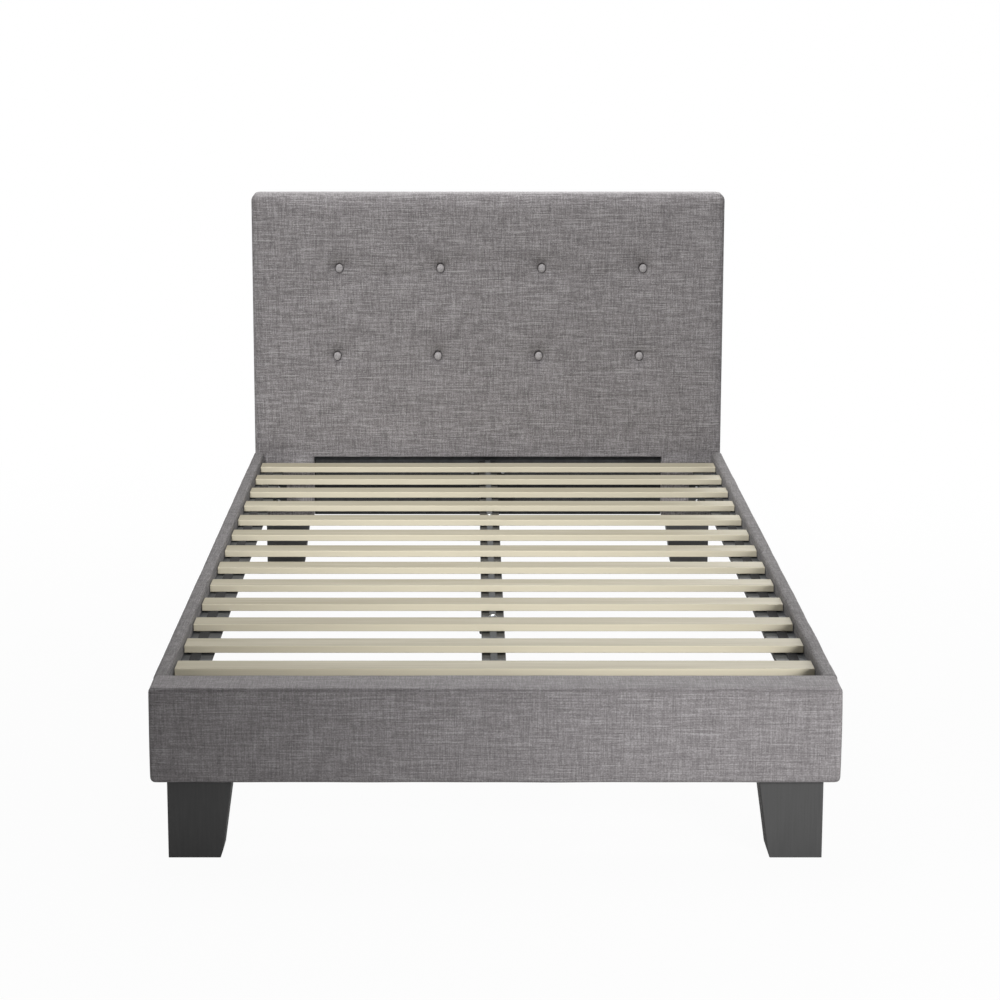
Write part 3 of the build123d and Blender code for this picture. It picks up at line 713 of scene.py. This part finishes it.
class BED_OT_footboard(bpy.types.Operator):
    """Pads the footboard and sews the seam along its top"""
    bl_idname = "bed.footboard"
    bl_label = "Footboard"

    def execute(self, context):
        sizes = context.scene.bed_sizes
        low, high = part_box("footboard_cover")
        piece = self.cut_out(sizes, low, high)
        where = points(piece)
        edge_hold, top_hold = 0.012, 0.009
        held = where[:, 1] > high.y - edge_hold
        held |= where[:, 2] < low.z + edge_hold
        held |= where[:, 2] > high.z - top_hold
        swell(piece, held, 0.6 * sizes.pad_swell)
        finish_with(piece, "SUBSURF", levels=1, render_levels=1)
        self.sew(piece, sizes, low, high)
        smooth(piece)
        lay_weave(piece, (0.2, 0.4))
        dress(piece, cover_linen(context, "footboard_linen", 1.6), "linen", "footboard_cover",
              "footboard_foam")
        return {"FINISHED"}

    def cut_out(self, sizes, low, high):
        """Rounds the board and cuts it into a grid of points, finest along the seam."""
        piece = add_box("footboard_upholstery", low, high)
        crisp, eased = 0.25, 0.73

        def share(at):
            """Crisp along the back and the long top edges, eased at the ends and along the bottom."""
            back = at.y > high.y - on_face
            top = at.z > high.z - on_face
            end = abs(at.x) > high.x - on_face
            return crisp if back or top and not end else eased

        round_edges(piece, sizes.footboard_edge, 4, share)
        cut_across(piece, 0, np.linspace(low.x, high.x, 132)[2:-2])
        cut_across(piece, 1, np.linspace(low.y, high.y, 10)[2:-2])
        seam_rows = [high.z - mm * 0.001 for mm in (3.2, 4.0, 4.8, 5.8, 7.0, 9, 12, 15)]
        cut_across(piece, 2, [*np.linspace(low.z + 0.014, high.z - 0.020, 13), *seam_rows])
        return piece

    def sew(self, piece, sizes, low, high):
        """Lifts the top panel and draws the cover in along a wavy seam where it meets the front."""
        where = points(piece)
        outward = facing(piece)
        line = where * (1, 0, 0)
        drop, wave, width, ripple = 0.0038, 0.0004, 0.0011, 0.0006
        front_reach, end_reach, lift_reach = 0.012, 0.010, 0.016
        seam = high.z - drop + wave * waver(line, 0.030, 11.0) + wave * waver(line, 0.11, 5.0)
        front = np.clip((low.y + front_reach - where[:, 1]) / (front_reach / 2), 0, 1)
        ends = np.clip((high.x - end_reach - np.abs(where[:, 0])) / end_reach, 0, 1)
        groove = np.exp(-((where[:, 2] - seam) / width) ** 2)
        rise = ripple * waver(where, 0.09, 7.0) - front * ends * sizes.seam_depth * groove
        lift = np.clip((where[:, 2] - high.z + lift_reach) / lift_reach, 0, 1)
        where[:, 2] += sizes.top_wadding * lift
        put_points(piece, where + outward * rise[:, None])


class BED_OT_side_rails(bpy.types.Operator):
    """Wraps the two side rails"""
    bl_idname = "bed.side_rails"
    bl_label = "Side rails"

    def execute(self, context):
        sizes, colours = context.scene.bed_sizes, context.scene.bed_colours
        # Painted shade: the rails wear a darker copy of the headboard's linen
        rails_shaded_cloth = linen("side_rail_painted_shade_linen", colours.rail_shaded_dark, colours.rail_shaded_mid, colours.rail_shaded_light)
        rows, columns = 12, 160
        for side, seed in (("left", 1.0), ("right", 4.0)):
            low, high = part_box("side_rail_cover_" + side)
            piece = add_box("side_rail_wrap_" + side, low, high)
            length, height = high.y - low.y, high.z - low.z
            cut_across(piece, 1, [low.y + length * k / columns for k in range(1, columns)])
            cut_across(piece, 2, [low.z + height * k / rows for k in range(1, rows)])
            round_edges(piece, sizes.rail_edge, 4)
            where = points(piece)
            broad = 0.0007 * waver(where, 0.10, seed)
            short = 0.0003 * waver(where * (1, 3, 1), 0.05, seed + 2)
            swells = 0.0008 + broad + short
            put_points(piece, where + facing(piece) * swells[:, None])
            smooth(piece)
            lay_weave(piece, (seed, 0.3))
            dress(piece, rails_shaded_cloth, "linen", "side_rail_cover_" + side)
        return {"FINISHED"}


class BED_OT_back_lining(bpy.types.Operator):
    """Staples the lining over the headboard's back"""
    bl_idname = "bed.back_lining"
    bl_label = "Back lining"

    def execute(self, context):
        sizes = context.scene.bed_sizes
        low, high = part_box("headboard_back_lining")
        middle = (low + high) / 2
        thick, sag, hold = 0.0006, 0.0002, 0.08
        bpy.ops.object.select_all(action="DESELECT")
        bpy.ops.mesh.primitive_grid_add(x_subdivisions=110, y_subdivisions=76, size=1,
                                        rotation=(math.radians(-90), 0, 0))
        piece = settle("back_lining_cloth")
        where = points(piece) * (high - low) + middle
        where[:, 1] = high.y - thick
        near = np.minimum(np.minimum(where[:, 0] - low.x, high.x - where[:, 0]),
                          np.minimum(where[:, 2] - low.z, high.z - where[:, 2]))
        loose = np.clip(near / hold, 0, 1)
        where[:, 1] -= sag * loose * (1 + waver(where, 0.16, 6.0))
        put_points(piece, where)
        finish_with(piece, "SOLIDIFY", thickness=thick, offset=-1)
        smooth(piece)
        dress(piece, spunbond("black_spunbond", "1b1b1d", "2b2b2d"), "back_lining", "headboard_back_lining")
        self.staple(sizes, low, high)
        return {"FINISHED"}

    def staple(self, sizes, low, high):
        """Drives a row of wire staples along the lining's edge."""
        inset, wire, crown, bite = 0.008, 0.0007, 0.011, 0.0012
        width, height = high.x - low.x - 2 * inset, high.z - low.z - 2 * inset
        across = max(2, round(width / sizes.staple_pitch))
        up = max(2, round(height / sizes.staple_pitch))
        spots = []
        for k in range(across + 1):
            x = low.x + inset + width * k / across
            spots += [(x, low.z + inset, True), (x, high.z - inset, True)]
        for k in range(1, up):
            z = low.z + inset + height * k / up
            spots += [(low.x + inset, z, False), (high.x - inset, z, False)]
        pieces = []
        for x, z, level in spots:
            half = Vector((crown / 2, 0, wire / 2)) if level else Vector((wire / 2, 0, crown / 2))
            at = Vector((x, high.y, z))
            pieces.append(add_box("staple", at - half - Vector((0, bite, 0)), at + half))
        piece = join(pieces, "lining_staples")
        finish_with(piece, "BEVEL", width=0.0002, segments=1)
        dress(piece, zinc(), "zinc")


class BED_OT_slats(bpy.types.Operator):
    """Gives the slats their planed wood"""
    bl_idname = "bed.slats"
    bl_label = "Slats"

    def execute(self, context):
        paint(slat_wood(context.scene.bed_colours),
              *[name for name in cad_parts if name.startswith("slat_") and "ledger" not in name])
        return {"FINISHED"}


class BED_OT_ironwork(bpy.types.Operator):
    """Coats the ledgers, the centre rail, its legs, tapes and fasteners"""
    bl_idname = "bed.ironwork"
    bl_label = "Ironwork"

    def execute(self, context):
        colours = context.scene.bed_colours
        paint(powder_coat("grey_powder_coat", colours.steel, "4a4d4f"), "slat_ledger_left",
              "slat_ledger_right", "corner_brackets")
        paint(powder_coat("black_powder_coat", colours.rail, "343537"), "center_rail",
              "center_rail_hanger_front", "center_rail_hanger_rear", "center_leg_front", "center_leg_rear")
        paint(felt_tape("black_felt_tape", "151516", "29292b"), "ledger_tapes")
        paint(felt_tape("grey_felt_tape", "484a4c", "606264"), "center_rail_tape")
        paint(zinc(), "ledger_screws", "corner_bolts", "hanger_screws", "center_leg_bolts", "leg_bolts",
              "button_washers")
        paint(moulded_plastic(), "leveling_foot_front", "leveling_foot_rear")
        return {"FINISHED"}


class BED_OT_legs(bpy.types.Operator):
    """Stains the four legs"""
    bl_idname = "bed.legs"
    bl_label = "Legs"

    def execute(self, context):
        paint(leg_wood(context.scene.bed_colours),
              *[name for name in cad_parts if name.startswith("leg_") and name != "leg_bolts"])
        return {"FINISHED"}


class BED_OT_inner_frame(bpy.types.Operator):
    """Gives the bay's board and the timber inside the covers their materials"""
    bl_idname = "bed.inner_frame"
    bl_label = "Inner frame"

    def execute(self, context):
        paint(spunbond("charcoal_spunbond", "363738", "434445"), "headboard_bay_panel")
        paint(frame_wood("birch_plywood", "b89a70", "d6bd96", 0.006), "headboard_front_board",
              "footboard_front_board", "footboard_back_board")
        paint(frame_wood("sawn_pine", "b48f5e", "dcc197", 0.010), "headboard_stile_left",
              "headboard_stile_right", "headboard_frame_rails", "headboard_cross_rail",
              "headboard_post_blocks", "footboard_battens", "footboard_end_blocks",
              "side_rail_board_left", "side_rail_board_right")
        return {"FINISHED"}


class BED_OT_stage(bpy.types.Operator):
    """Lays the pale floor and sets up the soft light and the camera"""
    bl_idname = "bed.stage"
    bl_label = "Stage"

    def execute(self, context):
        stage = context.scene.bed_stage
        bpy.ops.object.select_all(action="DESELECT")
        bpy.ops.mesh.primitive_grid_add(x_subdivisions=8, y_subdivisions=8, size=60, location=(0, 0, 0))
        floor = settle("studio_floor")
        floor.data.materials.append(self.floor_paint())
        self.light_room(context.scene, stage)
        top = self.add_lamp("AREA", "top_softbox", (-0.2, 0.7, 3.2), (0, 0.7, 0.3), stage.top_light)
        top.size = 2.2
        side = self.add_lamp("SPOT", "side_lamp", (1.6, -3.2, 1.0), (0.35, -1.03, 0.2), stage.side_light)
        side.spot_size, side.spot_blend, side.shadow_soft_size = math.radians(30), 1.0, 0.45
        back = self.add_lamp("AREA", "back_softbox", (0.5, 3.2, 1.5), (0, 1.0, 0.5), stage.back_light)
        back.size = 1.6
        key = self.add_lamp("SPOT", "key_lamp", (-1.1, -4.0, 2.6), (0.28, 1.0, 0.79), stage.key_light)
        key.spot_size, key.spot_blend, key.shadow_soft_size = math.radians(31), 0.8, 0.25
        self.add_camera(context.scene, stage)
        context.scene.view_settings.view_transform = "Standard"
        return {"FINISHED"}

    def floor_paint(self):
        """Matt white studio floor that reads as white where no shadow falls."""
        material, tree, shader = start_material("studio_white", roughness=0.9, specular_ior_level=0.0)
        shader.inputs["Base Color"].default_value = colour("cccccc")
        seen = add(tree, "ShaderNodeLightPath", {}).outputs["Is Camera Ray"]
        place = object_place(tree)
        away = add(tree, "ShaderNodeVectorMath", {0: place}, operation="LENGTH").outputs["Value"]
        glare = add(tree, "ShaderNodeMapRange", {"Value": away, "From Min": 1.2, "From Max": 2.6,
                                                 "To Min": 0.96, "To Max": 1.0}).outputs[0]
        share = add(tree, "ShaderNodeMath", {0: seen, 1: glare}, operation="MULTIPLY").outputs[0]
        glow = add(tree, "ShaderNodeEmission", {"Color": (1, 1, 1, 1), "Strength": 1.0}).outputs[0]
        mix = add(tree, "ShaderNodeMixShader", {0: share, 1: shader.outputs[0], 2: glow}).outputs[0]
        tree.links.new(mix, tree.nodes["Material Output"].inputs["Surface"])
        return material

    def light_room(self, scene, stage):
        """Even light from all round, behind a backdrop that the camera sees as white."""
        world = bpy.data.worlds.new("studio")
        world.use_nodes = True
        scene.world = world
        tree = world.node_tree
        seen = add(tree, "ShaderNodeLightPath", {}).outputs["Is Camera Ray"]
        room = tree.nodes["Background"]
        room.inputs["Color"].default_value = (1, 1, 1, 1)
        room.inputs["Strength"].default_value = stage.room_light
        white = add(tree, "ShaderNodeBackground", {"Color": (1, 1, 1, 1), "Strength": 1.0}).outputs[0]
        mix = add(tree, "ShaderNodeMixShader", {0: seen, 1: room.outputs[0], 2: white}).outputs[0]
        tree.links.new(mix, tree.nodes["World Output"].inputs["Surface"])

    def add_lamp(self, kind, name, place, target, power):
        """Hangs a lamp that faces a point."""
        bpy.ops.object.light_add(type=kind, location=place)
        lamp = bpy.context.object
        lamp.name = lamp.data.name = name
        lamp.rotation_euler = (Vector(target) - Vector(place)).to_track_quat("-Z", "Y").to_euler()
        lamp.data.energy = power
        return lamp.data

    def add_camera(self, scene, stage):
        """Stands the camera where the photograph was taken from."""
        bpy.ops.object.camera_add(location=stage.camera_place,
                                  rotation=(math.radians(90) - stage.camera_down, 0, 0))
        camera = bpy.context.object
        camera.data.sensor_width = 36
        camera.data.lens = stage.camera_lens
        camera.data.shift_x = stage.camera_shift
        scene.camera = camera


operators = (BED_OT_headboard, BED_OT_buttons, BED_OT_footboard, BED_OT_side_rails, BED_OT_back_lining,
             BED_OT_slats, BED_OT_ironwork, BED_OT_legs, BED_OT_inner_frame, BED_OT_stage)


class BED_PT_panel(bpy.types.Panel):
    """Lists the bed's pieces in the sidebar"""
    bl_idname = "BED_PT_panel"
    bl_label = "Bed"
    bl_space_type = "VIEW_3D"
    bl_region_type = "UI"
    bl_category = "Bed"

    def draw(self, context):
        for operator in operators:
            self.layout.operator(operator.bl_idname)
        for group in (context.scene.bed_sizes, context.scene.bed_colours, context.scene.bed_stage):
            for name in group.bl_rna.properties.keys():
                if name not in ("rna_type", "name"):
                    self.layout.prop(group, name)


classes = (BedSizes, BedColours, BedStage) + operators + (BED_PT_panel,)


def register():
    for item in classes:
        bpy.utils.register_class(item)
    bpy.types.Scene.bed_sizes = bpy.props.PointerProperty(type=BedSizes)
    bpy.types.Scene.bed_colours = bpy.props.PointerProperty(type=BedColours)
    bpy.types.Scene.bed_stage = bpy.props.PointerProperty(type=BedStage)


def unregister():
    del bpy.types.Scene.bed_sizes, bpy.types.Scene.bed_colours, bpy.types.Scene.bed_stage
    for item in reversed(classes):
        bpy.utils.unregister_class(item)


def main():
    register()
    bpy.ops.bed.headboard()
    bpy.ops.bed.buttons()
    bpy.ops.bed.footboard()
    bpy.ops.bed.side_rails()
    bpy.ops.bed.back_lining()
    bpy.ops.bed.slats()
    bpy.ops.bed.ironwork()
    bpy.ops.bed.legs()
    bpy.ops.bed.inner_frame()
    bpy.ops.bed.stage()
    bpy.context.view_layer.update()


if __name__ == "__main__":
    main()
